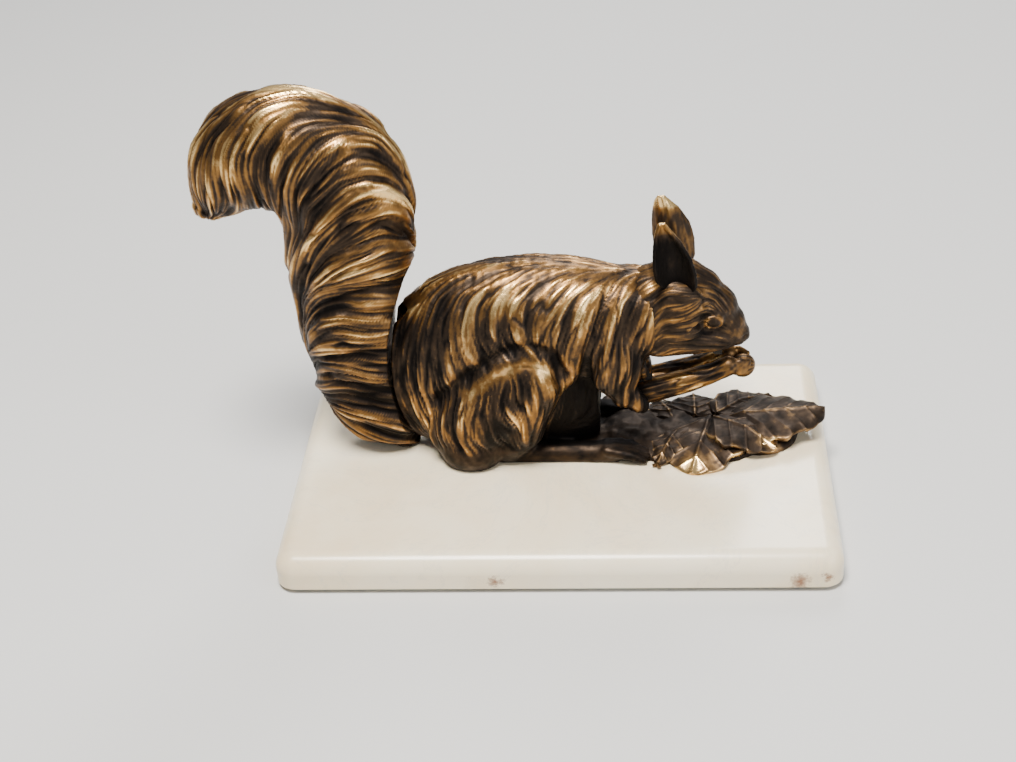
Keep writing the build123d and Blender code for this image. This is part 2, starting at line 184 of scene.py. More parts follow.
def take_away(piece, tool):
    """Cuts one closed mesh out of a piece and throws the tool away."""
    only(piece)
    cutter = piece.modifiers.new("cutter", "BOOLEAN")
    cutter.operation = "DIFFERENCE"
    cutter.solver = "MANIFOLD"
    cutter.object = tool
    bpy.ops.object.modifier_apply(modifier="cutter")
    bpy.data.objects.remove(tool, do_unlink=True)


def cut(piece, outline, half_width):
    """Cuts a side-view outline through a piece, this far to each side of the middle plane."""
    bpy.ops.object.select_all(action="DESELECT")
    bpy.ops.mesh.primitive_circle_add(vertices=len(outline), radius=MM, fill_type="NGON")
    tool = bpy.context.object
    for vertex, (x, z) in zip(tool.data.vertices, outline):
        vertex.co = (x * MM, (MIDDLE - half_width) * MM, z * MM)
    bpy.ops.object.mode_set(mode="EDIT")
    bpy.ops.mesh.select_all(action="SELECT")
    bpy.ops.mesh.extrude_region_move(TRANSFORM_OT_translate={"value": (0, 2 * half_width * MM, 0)})
    bpy.ops.mesh.select_all(action="SELECT")
    bpy.ops.mesh.normals_make_consistent(inside=False)
    bpy.ops.object.mode_set(mode="OBJECT")
    take_away(piece, tool)


def bore(piece, x, z, radius, bottom, depth):
    """Sinks a round hole along Y into a piece, from its bottom at this distance beyond the middle plane."""
    bpy.ops.object.select_all(action="DESELECT")
    bpy.ops.mesh.primitive_cylinder_add(
        vertices=48,
        radius=radius * MM,
        depth=depth * MM,
        location=(x * MM, (MIDDLE + bottom + depth / 2) * MM, z * MM),
        rotation=(math.pi / 2, 0, 0),
    )
    take_away(piece, bpy.context.object)


def places(piece):
    """The piece's points in millimetres, one row each."""
    flat = np.empty(len(piece.data.vertices) * 3)
    piece.data.vertices.foreach_get("co", flat)
    return flat.reshape(-1, 3) / MM


def outward(piece):
    """The piece's normals, one row for each point."""
    flat = np.empty(len(piece.data.vertices) * 3)
    piece.data.vertices.foreach_get("normal", flat)
    return flat.reshape(-1, 3)


def move_to(piece, points):
    """Puts the piece's points in these places, in millimetres."""
    piece.data.vertices.foreach_set("co", (points * MM).ravel())
    piece.data.update()


def paint(piece, name, values):
    """Keeps one number for each point in a named attribute."""
    layer = piece.data.attributes.get(name) or piece.data.attributes.new(name, "FLOAT", "POINT")
    layer.data.foreach_set("value", np.ascontiguousarray(values, dtype=np.float32))


def fade(low, high, values):
    """0 below low, 1 above high and an easy curve between them."""
    share = np.clip((values - low) / (high - low), 0.0, 1.0)
    return share * share * (3 - 2 * share)


LATTICE = np.random.default_rng(11).random((LATTICE_SIZE,) * 3)


def clouds(points, cell, shift=0.0):
    """Soft random values from 0 to 1 that change over about one cell."""
    scaled = points / cell + shift * 7.31
    low = np.floor(scaled).astype(int)
    part = scaled - low
    part = part * part * (3 - 2 * part)
    total = np.zeros(len(points))
    for dx in (0, 1):
        for dy in (0, 1):
            for dz in (0, 1):
                weight = (
                    (part[:, 0] if dx else 1 - part[:, 0])
                    * (part[:, 1] if dy else 1 - part[:, 1])
                    * (part[:, 2] if dz else 1 - part[:, 2])
                )
                corner = (low + (dx, dy, dz)) % LATTICE_SIZE
                total += weight * LATTICE[corner[:, 0], corner[:, 1], corner[:, 2]]
    return total


def nearest_table(points, cell):
    """A block of cells over a piece, each holding the number of a point in it or beside it."""
    low = points.min(axis=0) - 4 * cell
    size = np.ceil((points.max(axis=0) + 4 * cell - low) / cell).astype(int)
    table = np.full(size, -1)
    index = ((points - low) / cell).astype(int)
    table[index[:, 0], index[:, 1], index[:, 2]] = np.arange(len(points))
    for _ in range(3):
        for axis in range(3):
            for step in (1, -1):
                shifted = np.roll(table, step, axis=axis)
                table = np.where(table < 0, shifted, table)
    return table, low


def combed(points, normals, directions, cell, reach, shift=0.0):
    """Random values drawn out into strands that follow the directions over the piece's own surface."""
    table, low = nearest_table(points, COMB_CELL)
    steps = max(3, int(reach / (0.5 * cell)))
    stride = reach / steps
    total = clouds(points, cell, shift)
    for way in (1, -1):
        place = points.copy()
        index = np.arange(len(points))
        for step in range(1, steps + 1):
            place = place + way * stride * directions[index]
            near = np.clip(((place - low) / COMB_CELL).astype(int), 0, np.array(table.shape) - 1)
            found = table[near[:, 0], near[:, 1], near[:, 2]]
            index = np.where(found >= 0, found, index)
            gap = place - points[index]
            place = place - np.sum(gap * normals[index], axis=1)[:, None] * normals[index]
            share = 0.5 + 0.5 * math.cos(math.pi * step / (steps + 1))
            total += share * clouds(place, cell, shift)
    return (total - total.mean()) / total.std()


def brushed(points, normals, strokes):
    """The fur's direction at each point, from brush strokes of (x, z, degrees) in the side view."""
    spread = np.array(strokes, dtype=float)
    angles = np.radians(spread[:, 2])
    gaps = (points[:, 0:1] - spread[None, :, 0]) ** 2 + (points[:, 2:3] - spread[None, :, 1]) ** 2
    weights = 1.0 / (gaps + 4.0) ** 2
    run = (weights * np.cos(angles)).sum(axis=1)
    rise = (weights * np.sin(angles)).sum(axis=1)
    way = np.stack([run, np.zeros(len(points)), rise], axis=1)
    way /= np.linalg.norm(way, axis=1)[:, None]
    way -= np.sum(way * normals, axis=1)[:, None] * normals
    length = np.linalg.norm(way, axis=1)[:, None]
    return way / np.maximum(length, 1e-3)


def furred(piece, strokes, lock, tuft, hair, where, shift=0.0, shades=(0.20, 0.40, 0.30)):
    """Raises locks, tufts and hairs, each a (cell, reach, height), along the brush strokes."""
    points = places(piece)
    normals = outward(piece)
    ways = brushed(points, normals, strokes)
    locks = np.tanh(1.2 * combed(points, normals, ways, lock[0], lock[1], shift))
    tufts = combed(points, normals, ways, tuft[0], tuft[1], shift + 3)
    tufts = np.minimum(1.0, np.abs(tufts) / 0.9) ** 0.75
    hairs = np.clip(combed(points, normals, ways, hair[0], hair[1], shift + 6), -2, 2) / 2
    mask = where(points, normals)
    height = lock[2] * 0.5 * locks + tuft[2] * (tufts - 0.65) + hair[2] * hairs
    move_to(piece, points + normals * (height * mask)[:, None])
    relief = shades[0] * locks + shades[1] * (tufts - 0.66) + shades[2] * hairs
    mottle = 0.30 * (clouds(points, 2.6, 9) - 0.5) + 0.25 * (clouds(points, 0.9, 10) - 0.5)
    bare = 1 - np.clip(mask * 1.3, 0.15, 1)
    paint(piece, "relief", 0.42 + relief * (1 - bare) + mottle * (0.3 + 0.7 * bare))


def line_gap(points, path):
    """The side view's distance from each point to a path of (x, z) corners."""
    best = np.full(len(points), 1e9)
    flat = points[:, [0, 2]]
    for start, end in zip(path[:-1], path[1:]):
        start = np.array(start, dtype=float)
        run = np.array(end, dtype=float) - start
        share = np.clip(((flat - start) @ run) / (run @ run), 0, 1)
        best = np.minimum(best, np.linalg.norm(flat - start - share[:, None] * run, axis=1))
    return best


def groove(points, path, width):
    """1 along a path and 0 a few widths away from it."""
    return np.exp(-((line_gap(points, path) / width) ** 2))


# --- materials -------------------------------------------------------------------------------------
def node(tree, kind, **settings):
    """Adds a shader node and sets its properties and its unlinked inputs by name."""
    made = tree.nodes.new(kind)
    for key, value in settings.items():
        if hasattr(made, key):
            setattr(made, key, value)
        else:
            made.inputs[key.replace("_", " ")].default_value = value
    return made


def ramp(tree, stops):
    """A colour ramp with these (place, colour) stops."""
    made = tree.nodes.new("ShaderNodeValToRGB")
    while len(made.color_ramp.elements) < len(stops):
        made.color_ramp.elements.new(0.5)
    for element, (place, colour) in zip(made.color_ramp.elements, stops):
        element.position = place
        element.color = (*colour, 1.0)
    return made


def new_material(name):
    """A new material, its node tree and its surface shader."""
    material = bpy.data.materials.new(name)
    material.use_nodes = True
    tree = material.node_tree
    shader = tree.nodes["Principled BSDF"]
    return material, tree, shader


def bronze(name, groove, body, ridge, gleam, tone, tone_share):
    """Patinated bronze: dark in its grooves, brown on its body and bright along its ridges, partly rubbed
    metal and partly painted highlights and shade.
    """
    material, tree, shader = new_material(name)
    link = tree.links.new
    where = node(tree, "ShaderNodeTexCoord")
    relief = node(tree, "ShaderNodeAttribute", attribute_name="relief")
    wear_and_painted_light = node(tree, "ShaderNodeAttribute", attribute_name="wear_and_painted_light")
    cast = node(tree, "ShaderNodeTexNoise", Scale=900.0, Detail=3.0, Roughness=0.6)
    blotch = node(tree, "ShaderNodeTexNoise", Scale=130.0, Detail=4.0, Roughness=0.62)
    link(where.outputs["Object"], cast.inputs["Vector"])
    link(where.outputs["Object"], blotch.inputs["Vector"])
    level = node(tree, "ShaderNodeMath", operation="MULTIPLY_ADD")
    level.inputs[1].default_value = 0.16
    link(cast.outputs["Fac"], level.inputs[0])
    link(relief.outputs["Fac"], level.inputs[2])
    # The second attribute mixes rubbed wear with painted light: painted highlights on upper parts and ridges,
    # and painted shade low down and in creases and hollows.
    worn_and_lit = node(tree, "ShaderNodeMath", operation="MULTIPLY_ADD")
    worn_and_lit.inputs[1].default_value = 0.30
    link(wear_and_painted_light.outputs["Fac"], worn_and_lit.inputs[0])
    link(level.outputs[0], worn_and_lit.inputs[2])
    patched = node(tree, "ShaderNodeMath", operation="MULTIPLY_ADD")
    patched.inputs[1].default_value = 0.5
    link(blotch.outputs["Fac"], patched.inputs[0])
    link(worn_and_lit.outputs[0], patched.inputs[2])
    lowered = node(tree, "ShaderNodeMath", operation="SUBTRACT")
    lowered.inputs[1].default_value = 0.33
    link(patched.outputs[0], lowered.inputs[0])
    colours = ramp(tree, [(0.12, groove), (0.46, body), (0.76, ridge), (1.0, gleam)])
    link(lowered.outputs[0], colours.inputs["Fac"])
    # A grey tone is mixed in, in random patches and more where the bronze is brighter: a painted grey sheen.
    mix = node(tree, "ShaderNodeMix", data_type="RGBA", blend_type="MIX")
    tint = node(tree, "ShaderNodeTexNoise", Scale=60.0, Detail=2.0)
    link(where.outputs["Object"], tint.inputs["Vector"])
    share = node(tree, "ShaderNodeMath", operation="MULTIPLY", use_clamp=True)
    share.inputs[1].default_value = tone_share
    link(lowered.outputs[0], share.inputs[0])
    amount = node(tree, "ShaderNodeMath", operation="MULTIPLY")
    link(share.outputs[0], amount.inputs[0])
    link(tint.outputs["Fac"], amount.inputs[1])
    link(amount.outputs[0], mix.inputs[0])
    link(colours.outputs["Color"], mix.inputs[6])
    mix.inputs[7].default_value = (*tone, 1.0)
    link(mix.outputs[2], shader.inputs["Base Color"])
    gloss = ramp(tree, [(0.15, (0.62,) * 3), (0.55, (0.42,) * 3), (0.95, (0.27,) * 3)])
    link(lowered.outputs[0], gloss.inputs["Fac"])
    link(gloss.outputs["Color"], shader.inputs["Roughness"])
    shader.inputs["Metallic"].default_value = 0.9
    bump = node(tree, "ShaderNodeBump", Strength=0.35, Distance=0.0002)
    link(cast.outputs["Fac"], bump.inputs["Height"])
    link(bump.outputs["Normal"], shader.inputs["Normal"])
    return material


def plain_metal(name, colour, rough, metallic=1.0):
    """Turned or sawn metal with fine scratches and a little dulling."""
    material, tree, shader = new_material(name)
    link = tree.links.new
    where = node(tree, "ShaderNodeTexCoord")
    dull = node(tree, "ShaderNodeTexNoise", Scale=400.0, Detail=5.0, Roughness=0.65)
    link(where.outputs["Object"], dull.inputs["Vector"])
    dark = tuple(value * 0.45 for value in colour)
    colours = ramp(tree, [(0.3, dark), (0.6, colour)])
    link(dull.outputs["Fac"], colours.inputs["Fac"])
    link(colours.outputs["Color"], shader.inputs["Base Color"])
    gloss = ramp(tree, [(0.3, (rough + 0.2,) * 3), (0.7, (rough,) * 3)])
    link(dull.outputs["Fac"], gloss.inputs["Fac"])
    link(gloss.outputs["Color"], shader.inputs["Roughness"])
    shader.inputs["Metallic"].default_value = metallic
    bump = node(tree, "ShaderNodeBump", Strength=0.25, Distance=0.0001)
    link(dull.outputs["Fac"], bump.inputs["Height"])
    link(bump.outputs["Normal"], shader.inputs["Normal"])
    return material


RUST_STAINS = [(-16.0, 3.9, 3.2), (63.3, 3.4, 4.2), (70.4, 4.7, 2.2)]  # x, z and size, on the front face
FRONT_FACE = -47.3
STAIN_EDGE = 3.2                    # how far a stain's full colour reaches
STAIN_RAGGED = 7.0                  # how far its edge wanders


def marble_material():
    """Cream marble: cloudy, with faint grey veins and a few rust stains low on the front."""
    material, tree, shader = new_material("cream_marble")
    link = tree.links.new
    where = node(tree, "ShaderNodeTexCoord")
    cloud = node(tree, "ShaderNodeTexNoise", Scale=14.0, Detail=6.0, Roughness=0.6, Distortion=0.6)
    link(where.outputs["Object"], cloud.inputs["Vector"])
    base = ramp(tree, [(0.30, (0.80, 0.64, 0.40)), (0.50, (0.90, 0.78, 0.56)), (0.72, (0.94, 0.86, 0.69))])
    link(cloud.outputs["Fac"], base.inputs["Fac"])
    vein = node(tree, "ShaderNodeTexNoise", Scale=22.0, Detail=8.0, Roughness=0.7, Distortion=1.6)
    link(where.outputs["Object"], vein.inputs["Vector"])
    lines = ramp(tree, [(0.485, (0, 0, 0)), (0.50, (1, 1, 1)), (0.515, (0, 0, 0))])
    link(vein.outputs["Fac"], lines.inputs["Fac"])
    soft = node(tree, "ShaderNodeMath", operation="MULTIPLY")
    soft.inputs[1].default_value = 0.30
    link(lines.outputs["Color"], soft.inputs[0])
    veined = node(tree, "ShaderNodeMix", data_type="RGBA", blend_type="MIX")
    link(soft.outputs[0], veined.inputs[0])
    link(base.outputs["Color"], veined.inputs[6])
    veined.inputs[7].default_value = (0.62, 0.56, 0.46, 1.0)
    last = veined.outputs[2]
    for x, z, size in RUST_STAINS:
        spot = node(tree, "ShaderNodeVectorMath", operation="DISTANCE")
        link(where.outputs["Object"], spot.inputs[0])
        spot.inputs[1].default_value = (x * MM, FRONT_FACE * MM, z * MM)
        rough_edge = node(tree, "ShaderNodeTexNoise", Scale=700.0, Detail=4.0, Roughness=0.7)
        link(where.outputs["Object"], rough_edge.inputs["Vector"])
        spread = node(tree, "ShaderNodeMath", operation="MULTIPLY_ADD")
        spread.inputs[1].default_value = STAIN_RAGGED * MM
        link(rough_edge.outputs["Fac"], spread.inputs[0])
        link(spot.outputs["Value"], spread.inputs[2])
        edge = ramp(tree, [(0.0, (0.95,) * 3), (0.6, (0.55,) * 3), (1.0, (0, 0, 0))])
        scaled = node(tree, "ShaderNodeMapRange")
        scaled.inputs["From Min"].default_value = STAIN_EDGE * MM
        scaled.inputs["From Max"].default_value = (STAIN_EDGE + size * 0.80) * MM
        link(spread.outputs[0], scaled.inputs["Value"])
        link(scaled.outputs["Result"], edge.inputs["Fac"])
        stained = node(tree, "ShaderNodeMix", data_type="RGBA", blend_type="MIX")
        link(edge.outputs["Color"], stained.inputs[0])
        link(last, stained.inputs[6])
        stained.inputs[7].default_value = (0.22, 0.075, 0.02, 1.0)
        last = stained.outputs[2]
    link(last, shader.inputs["Base Color"])
    shader.inputs["Roughness"].default_value = 0.28
    shader.inputs["Subsurface Weight"].default_value = 0.12
    shader.inputs["Subsurface Radius"].default_value = (0.004, 0.003, 0.002)
    shader.inputs["Coat Weight"].default_value = 0.25
    shader.inputs["Coat Roughness"].default_value = 0.15
    bump = node(tree, "ShaderNodeBump", Strength=0.15, Distance=0.0002)
    link(cloud.outputs["Fac"], bump.inputs["Height"])
    link(bump.outputs["Normal"], shader.inputs["Normal"])
    return material


def felt_material():
    """Dark green felt with a fine random nap."""
    material, tree, shader = new_material("green_felt")
    link = tree.links.new
    where = node(tree, "ShaderNodeTexCoord")
    nap = node(tree, "ShaderNodeTexNoise", Scale=1800.0, Detail=4.0, Roughness=0.7)
    link(where.outputs["Object"], nap.inputs["Vector"])
    colours = ramp(tree, [(0.3, (0.010, 0.030, 0.018)), (0.7, (0.035, 0.085, 0.05))])
    link(nap.outputs["Fac"], colours.inputs["Fac"])
    link(colours.outputs["Color"], shader.inputs["Base Color"])
    shader.inputs["Roughness"].default_value = 0.95
    shader.inputs["Sheen Weight"].default_value = 0.4
    bump = node(tree, "ShaderNodeBump", Strength=0.8, Distance=0.0003)
    link(nap.outputs["Fac"], bump.inputs["Height"])
    link(bump.outputs["Normal"], shader.inputs["Normal"])
    return material


GROOVE = (0.006, 0.0045, 0.004)
BROWN = (0.034, 0.020, 0.011)
OCHRE = (0.27, 0.130, 0.029)
GOLD = (0.92, 0.62, 0.25)
# Grey mixed into the bronze as a painted sheen.
SHEEN_GREY = (0.33, 0.27, 0.22)
fur_bronze = bronze("fur_bronze", GROOVE, BROWN, OCHRE, GOLD, SHEEN_GREY, 0.16)
tail_bronze = bronze("tail_bronze", GROOVE, BROWN, OCHRE, GOLD, SHEEN_GREY, 0.15)
leaf_bronze = bronze("leaf_bronze", GROOVE, (0.034, 0.021, 0.0125), (0.25, 0.145, 0.058), GOLD, SHEEN_GREY, 0.12)
cream_marble = marble_material()
green_felt = felt_material()
dulled_steel = plain_metal("dulled_steel", (0.50, 0.50, 0.50), 0.28)
# Near black iron. On the upper jaw plate it stands for the shadow in the jaw gap, as painted shade.
black_iron_and_shade = plain_metal("black_iron_and_painted_shade", (0.020, 0.018, 0.016), 0.6, 0.6)
dark_steel = plain_metal("dark_steel", (0.085, 0.070, 0.056), 0.42)
turned_brass = plain_metal("turned_brass", (0.72, 0.54, 0.24), 0.3)


def dress(piece, material, body, casting):
    """Gives a finished piece its material, its body and the casting it stands for."""
    piece.data.materials.clear()
    piece.data.materials.append(material)
    only(piece)
    bpy.ops.object.shade_smooth()
    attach(piece, body)
    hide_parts(casting)


# --- body -----------------------------------------------------------------------------------------
TORSO = [  # x and z of each section's centre, its half height and its half width
    (-43, 35, 19.5, 9), (-36, 36, 24.5, 12), (-28, 37.5, 28.0, 14.5), (-19, 40, 28.6, 15.8),
    (-9, 44, 25.6, 15.8),
    (2, 49.5, 19.5, 14.8), (10, 51, 16.4, 13.4), (16, 51.2, 15.0, 12.2), (21, 51.8, 14.0, 10.2),
]
HAUNCH_CREASE = [(-33.5, 32.5), (-25.5, 40.5), (-16, 48), (-7.5, 51.2), (-0.5, 48), (2.4, 41)]
HAUNCH_RIM = [(-24, 37), (-15.5, 43.6), (-8, 46.4), (-3.2, 44), (-1.4, 38.5)]
SHOULDER_CREASE = [(15, 64), (11, 57), (8.4, 49), (7.6, 42), (9.4, 36), (14.5, 30.5)]
BODY_STROKES = [
    # back and flank
    (-24, 74, 26), (-27, 70, 46), (-30, 65, 60), (-33, 58, 81), (-33, 51, 89), (-32, 43, 98),
    (-28, 38, 112),
    (-18, 71, 32), (-21, 65, 51), (-25, 59, 77), (-25, 52, 99), (-22, 46, 112), (-18, 42, 127),
    (-12, 69, 34), (-16, 65, 56), (-19, 58, 90), (-18, 52, 113), (-15, 46, 133), (-11, 48, 123),
    (-6, 73, 27), (-10, 66, 52), (-13, 60, 78), (-12, 55, 104), (-8, 49, 118), (-1, 70, 42), (-8, 54, 100),
    (0, 58, 62), (-2, 51, 79), (-1, 44, 105),
    # rump
    (-36, 33, 107), (-38, 41, 93), (-40, 48, 86), (-40, 59, 68), (-47, 44, 88), (-46, 28, 106),
    (-39, 29, 98),
    (-29, 21, 112), (-38, 24, 106), (-35, 14, 116), (-29, 10, 121),
    # shoulders and neck
    (5, 69, 42), (1, 62, 57), (3, 55, 71), (11, 73, 21), (11, 65, 48), (15, 60, 71), (14, 53, 76),
    (10, 50, 71),
    (15, 45, 84), (11, 40, 80), (21, 36, 76), (17, 33, 89),
    # haunch, shin and foot
    (-23, 32, 74), (-20, 35, 78), (-15, 39, 70), (-27, 28, 90), (-22, 26, 94), (-17, 30, 103),
    (-12, 30, 122),
    (-8, 27, 95), (-5, 26, 71), (-13, 19, 112), (-20, 20, 117), (-22, 8, 143), (-9, 12, 5), (7, 14, -10),
]
HEAD_STROKES = [
    (16, 67, 53), (21, 61, 58), (19, 53, 80), (24, 56, 72), (19, 44, 85), (27, 65, 33), (28, 60, 44),
    (33, 63, -7),
    (39, 63, -1), (44, 62, -19), (46, 57, -64), (33, 56, 11), (37, 59, 28), (33, 50, -7), (40, 48, -11),
    (45, 47, -19), (37, 45, -15), (49, 50, -55), (26, 50, 54), (28, 44, 28), (25, 73, 16), (40, 72, -40),
]
TAIL_STROKES = [
    # lobe
    (-91, 101, 87), (-89, 112, 69), (-84, 118, 46), (-74, 122, 23), (-84, 104, 81), (-78, 117, 51),
    (-69, 121, 28),
    (-79, 101, 89), (-74, 115, 55), (-61, 120, 14), (-75, 99, 95), (-73, 112, 60), (-66, 118, 38),
    (-72, 94, 87), (-71, 104, 78), (-67, 111, 56), (-54, 117, 11),
    # bend
    (-67, 94, 78), (-66, 102, 65), (-61, 108, 47), (-49, 114, 4), (-65, 90, 74), (-59, 103, 52),
    (-53, 108, 34),
    (-47, 110, 4), (-39, 104, -46), (-59, 93, 44), (-54, 97, 39), (-48, 100, 15), (-43, 100, -11),
    (-38, 96, -35),
    # upright part
    (-63, 77, 59), (-59, 83, 49), (-52, 88, 38), (-47, 91, 15), (-38, 85, -36), (-67, 69, 62),
    (-61, 74, 44),
    (-55, 78, 28), (-49, 79, 8), (-38, 77, -15), (-69, 59, 68), (-65, 64, 42), (-58, 67, 15), (-51, 67, -1),
    (-45, 66, -15), (-70, 51, 71), (-66, 57, 42), (-60, 61, 16), (-53, 59, -19),
    # foot
    (-68, 42, 41), (-63, 45, 16), (-57, 45, -1), (-53, 43, -23), (-65, 37, 30), (-59, 40, 5),
    (-54, 37, -23),
    (-65, 32, 20), (-53, 32, -23), (-59, 26, -8), (-54, 21, -28), (-49, 16, -35),
]


def body_side(side):
    """One side's haunch, hind leg and foot, shoulder and upper arm."""
    y = MIDDLE
    ball((-18.5, y + side * 9.4, 29.3), (22.3, 10.2, 12.2), climb=45)
    ball((-8.2, y + side * 11.0, 38.4), (8.3, 8.4, 8.4))
    ball((-24.5, y + side * 11.2, 16.5), (9.5, 7.6, 8.5))
    limb([(-5.5, y + side * 12, 36, 6.5), (-10, y + side * 11.6, 22, 6.0), (-14, y + side * 10.6, 16, 5.0)])
    limb([(-15, y + side * 9.6, 12.6, 3.6), (4, y + side * 9.9, 12.4, 3.3), (15, y + side * 10.4, 12.8, 3.4)])
    for spread in (-3.3, -1.1, 1.1, 3.3):
        limb([(13, y + side * (10.6 + 0.6 * spread), 14.6, 1.6), (20, y + side * (10.8 + spread), 13.9, 1.4),
              (25.0 - 0.5 * abs(spread), y + side * (11 + spread), 12.4, 1.1)])
    ball((15.8, y + side * 7.8, 43.0), (12.6, 6.6, 7.9), climb=103)
    limb([(13.8, y + side * 8.6, 38, 5.9), (18.4, y + side * 8.6, 32.0, 4.4),
          (22.0, y + side * 8.2, 28.2, 2.8)])
    ball((22.8, y + side * 8.0, 27.2), (2.2, 2.0, 2.0))
    ball((21.5, y + side * 5.8, 52.0), (7.5, 5.8, 11.0))


def squirrel_body():
    """The torso with both haunches, hind feet and upper arms."""
    piece = blank("squirrel_body")
    for x, z, high, wide in eased_rows(TORSO, np.linspace(0, 1, 34)):
        ball((x, MIDDLE, z), (10.5, wide, high))
    both(body_side)
    ball((18, MIDDLE, 42), (8, 9, 11))
    ball((0, MIDDLE, 30), (17, 10.0, 21))
    fuse(piece, 0.5, 4)
    # the slot for the lever, the space between the upper arms and all below the plinth's face
    lever_slot = [(-90, 14.5), (-90, 61), (-42, 57), (-4, 50), (26, 48), (40, 40), (40, 20), (17, 33)]
    cut(piece, lever_slot, SLOT_HALF)
    cut(piece, [(11.0, 36.0), (11.5, -20.0), (60.0, -20.0), (60.0, 36.0)], POCKET_HALF)
    cut(piece, [(-PAST, -30), (PAST, -30), (PAST, TOP), (-PAST, TOP)], 80)
    reskin(piece, 0.50)
    points = places(piece)
    reach = points[:, [0, 2]] - PIVOT
    radius = np.linalg.norm(reach, axis=1)
    pull = np.minimum(1.0, RUMP_RADIUS / radius)
    points[:, [0, 2]] = PIVOT + reach * pull[:, None]
    points[:, 2] = np.maximum(points[:, 2], TOP)
    move_to(piece, points)
    normals = outward(piece)
    open_flank = fade(4.5, 8.0, np.abs(points[:, 1] - MIDDLE))
    sunk = 1.5 * groove(points, HAUNCH_CREASE, 1.7) + 0.9 * groove(points, SHOULDER_CREASE, 1.3)
    raised = 0.9 * groove(points, HAUNCH_RIM, 3.2)
    move_to(piece, points + normals * ((raised - sunk) * open_flank)[:, None])
    points = places(piece)
    # Marks for painted light: painted shade in the haunch and shoulder creases and in the hollow under the
    # belly, and a painted highlight along the haunch rim.
    dark = groove(points, HAUNCH_CREASE, 1.9) + 0.6 * groove(points, SHOULDER_CREASE, 1.5)
    bright = groove(points, HAUNCH_RIM, 2.0)
    between = 1 - fade(9.6, 11.5, np.abs(points[:, 1] - MIDDLE))
    belly = fade(-5.0, -1.0, points[:, 0]) * (1 - fade(34.0, 38.0, points[:, 2])) * between
    belly *= fade(13.5, 16.0, points[:, 2])

    def where(points, normals):
        """How much fur stands at each point, from 0 to 1."""
        flank = fade(16.0, 20.5, points[:, 2])
        foot = fade(-12.0, -4.0, points[:, 0]) * (1 - fade(19.0, 23.0, points[:, 2]))
        rear = 1 - fade(61.0, 62.3, np.linalg.norm(points[:, [0, 2]] - PIVOT, axis=1))
        inside = fade(4.2, 5.4, np.abs(points[:, 1] - MIDDLE))
        inside = np.maximum(inside, fade(60.0, 62.0, points[:, 2]))
        rim = 0.85 * groove(points, HAUNCH_RIM, 3.0)
        calm = 1 - 0.5 * fade(58.0, 68.0, points[:, 2])
        return np.clip(flank * rear * inside * (1 - 0.5 * foot) * (1 - rim) * calm, 0, 1)

    furred(piece, BODY_STROKES, (3.3, 12.0, 0.95), (1.5, 9.0, 0.50), (0.55, 6.0, 0.20), where)
    # Brighter towards the top as painted light from above, darker low down as painted shade.
    height = places(piece)[:, 2]
    lit = fade(46, 68, height)
    low = 1 - fade(12, 30, height)
    paint(piece, "wear_and_painted_light", 0.50 * lit + 1.3 * bright - 0.9 * dark - 0.5 * low - 2.0 * belly)
    dress(piece, fur_bronze, "base", "body_casting")


# --- head -----------------------------------------------------------------------------------------
def head_side(side):
    """One side's cheek, brow, ear root and jaw."""
    y = MIDDLE
    ball((31.5, y + side * 5.0, 51.0), (9.0, 5.4, 8.0))
    ball((41.0, y + side * 3.6, 54.5), (6.5, 4.2, 3.6), climb=-28)
    ball((45.8, y + side * 2.3, 46.2), (4.6, 2.9, 3.4))
    ball((33.4, y + side * 7.6, 61.0), (6.2, 3.0, 3.9))
    limb([(28, y + side * 4.6, 47.0, 5.6), (38, y + side * 3.4, 46.0, 4.6),
          (45, y + side * 2.2, 45.2, 3.7), (48.6, y + side * 1.2, 44.8, 2.7)])


def eye_lines(points, width):
    """1 along the two lines that run back from the eye."""
    return sum(groove(points, line, width) for line in LID_LINES)


